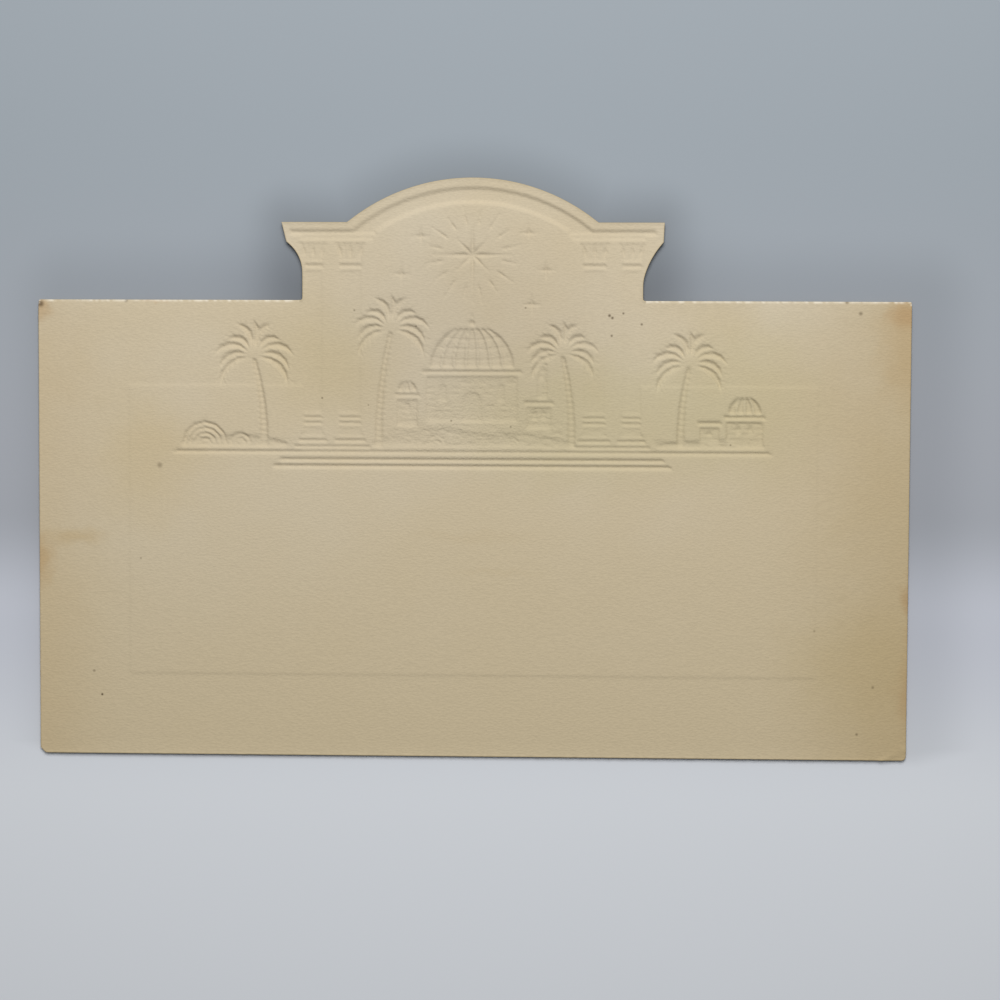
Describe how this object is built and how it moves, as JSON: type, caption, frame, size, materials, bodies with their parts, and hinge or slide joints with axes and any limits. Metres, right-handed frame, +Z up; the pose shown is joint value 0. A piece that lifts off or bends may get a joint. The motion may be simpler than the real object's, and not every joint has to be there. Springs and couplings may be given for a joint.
{
  "type": "greeting card",
  "caption": "Die-cut greeting card of stiff cream card with an arched classical crown and blind-embossed relief, lying on its front with the plain back up.",
  "frame": {"origin": "under the middle of the card, on the surface that it lies on", "axes": "+X along the card's length, +Y towards the arched crown, +Z up, out of the card's back"},
  "size_m": [0.1524, 0.1013, 0.001],
  "materials": {
    "card_stock": "uncoated cream card, toned by age, with a fine felt grain"
  },
  "bodies": {
    "root": {"card": "card_stock"}
  },
  "joints": []
}
